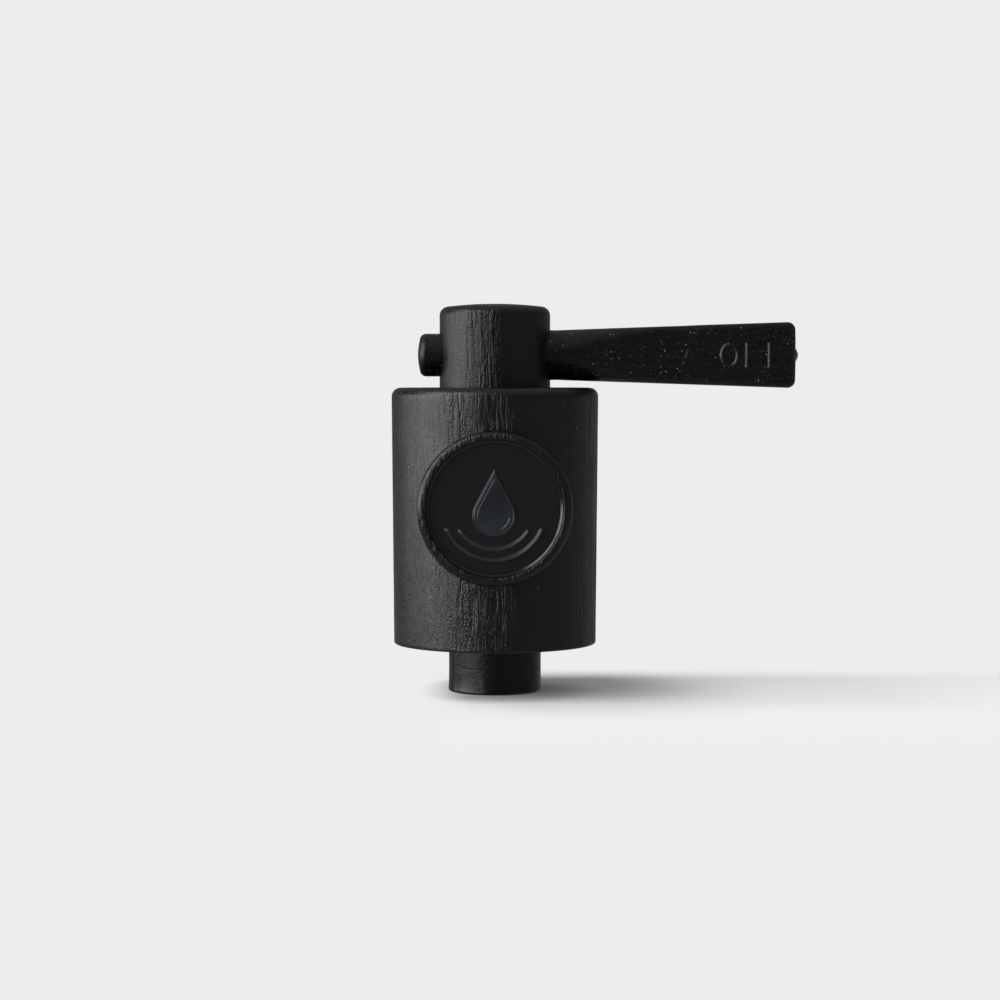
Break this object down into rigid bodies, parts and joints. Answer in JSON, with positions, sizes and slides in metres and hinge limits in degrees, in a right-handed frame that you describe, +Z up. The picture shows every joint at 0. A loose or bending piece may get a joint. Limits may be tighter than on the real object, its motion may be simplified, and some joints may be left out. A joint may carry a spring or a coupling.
{
  "type": "water filter spigot",
  "caption": "Barrel-shaped plug cock for a countertop water filter, with a side lever, a bottom nozzle and a threaded shank with nut.",
  "frame": {"origin": "centre of the nozzle's mouth", "axes": "+Z up along the plug's axis, -Y to the front, +Y along the shank to the rear, +X along the lever when the tap is shut"},
  "size_m": [0.0677, 0.0587, 0.0645],
  "materials": {
    "grained_plastic": "black polypropylene with a moulded wood grain, satin",
    "smooth_plastic": "smooth black plastic, satin",
    "nut_plastic": "black moulded plastic",
    "natural_plastic": "natural polyethylene, semi-matte",
    "seal_rubber": "black rubber, matte",
    "clip_steel": "stainless spring steel"
  },
  "bodies": {
    "tap_body": {"housing": "grained_plastic", "medallion": "smooth_plastic", "thrust_washer": "natural_plastic", "front_washer": "seal_rubber"},
    "turning_plug": {"plug": "grained_plastic", "lever": "grained_plastic", "o_ring_upper": "seal_rubber", "o_ring_lower": "seal_rubber", "port_seal": "seal_rubber", "retaining_clip": "clip_steel"},
    "clamp_washers": {"rear_washer": "seal_rubber", "slip_washer": "natural_plastic"},
    "nut": {"lock_nut": "nut_plastic"}
  },
  "joints": [
    {"name": "lever_turn", "type": "hinge", "parent": "tap_body", "child": "turning_plug", "pos_m": [0, 0, 0.0313], "axis": [0, 0, -1], "range_deg": [0, 90]},
    {"name": "nut_travel", "type": "slide", "parent": "tap_body", "child": "clamp_washers", "axis": [0, 1, 0], "range_m": [-0.0058, 0.004]},
    {"name": "nut_turn", "type": "hinge", "parent": "clamp_washers", "child": "nut", "pos_m": [0, 0.03, 0.0313], "axis": [0, 1, 0], "range_deg": [-1044.2, 720.2]}
  ],
  "couplings": [
    {"joint": "nut_turn", "follows": "nut_travel", "rad_per_m": 3141.6}
  ]
}
